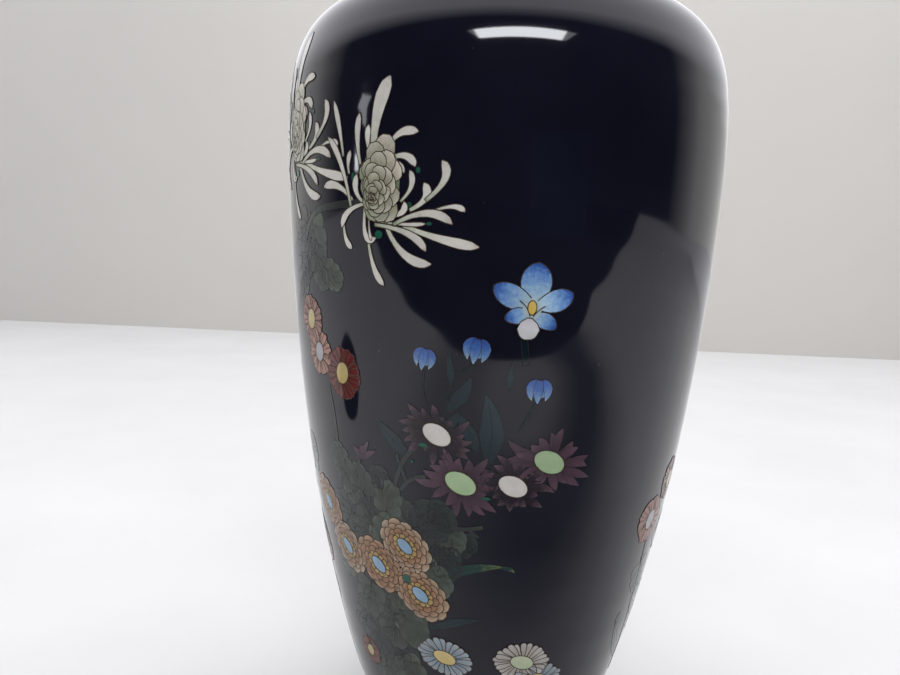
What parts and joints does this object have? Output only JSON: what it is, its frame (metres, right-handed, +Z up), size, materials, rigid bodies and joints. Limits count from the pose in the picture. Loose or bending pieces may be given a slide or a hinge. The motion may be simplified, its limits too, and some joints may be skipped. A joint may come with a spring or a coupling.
{
  "type": "cloisonne vase",
  "caption": "High-shouldered enamel vase on a copper body, with silver rims and flowers in wired enamel cells.",
  "frame": {"origin": "centre of the ring that the foot rests on, at its underside", "axes": "+Z up along the vase's axis of revolution; -Y faces the front, with the white chrysanthemums to its left and the bellflower near its middle"},
  "size_m": [0.0906, 0.0908, 0.1712],
  "materials": {
    "copper": "raised copper, matt, hidden under enamel",
    "silver": "polished silver strip, lightly worn",
    "ground": "polished midnight-blue enamel",
    "counter": "glossy counter-enamel with a fire-polished ripple",
    "white_petal": "polished cream enamel with a green root",
    "leaf": "polished grey-green enamel",
    "blade": "polished dark teal enamel",
    "blue_petal": "polished shaded blue enamel",
    "calyx": "polished ivory enamel",
    "yellow": "polished yellow enamel",
    "red_petal": "polished brick-red enamel",
    "aster_petal": "polished dark purple enamel",
    "pale_centre": "polished pale green enamel",
    "orange_petal": "polished orange and cream enamel",
    "pale_blue": "polished pale blue enamel",
    "white_daisy": "polished ivory enamel",
    "wire": "tarnished silver wire, ground flush"
  },
  "bodies": {
    "root": {"copper_base": "copper", "copper_lower_wall": "copper", "copper_upper_wall": "copper", "copper_shoulder": "copper", "copper_crown": "copper", "copper_neck": "copper", "foot_ring": "copper", "foot_rim": "silver", "mouth_rim": "silver", "ground_enamel": "ground", "lining_enamel": "counter", "base_enamel": "counter", "chrysanthemum_petals": "white_petal", "chrysanthemum_hearts": "white_petal", "chrysanthemum_leaves": "leaf", "bellflower_petals": "blue_petal", "bellflower_stamens": "yellow", "bellflower_calyxes": "calyx", "bellflower_buds": "blue_petal", "red_daisy_petals": "red_petal", "red_daisy_centres": "yellow", "aster_petals": "aster_petal", "aster_centres": "pale_centre", "pompon_petals": "orange_petal", "pompon_centres": "pale_blue", "blue_daisy_petals": "pale_blue", "white_daisy_petals": "white_daisy", "field_daisy_centres": "yellow", "blade_leaves": "blade", "flower_stems": "leaf", "centre_wires": "wire"}
  },
  "joints": []
}
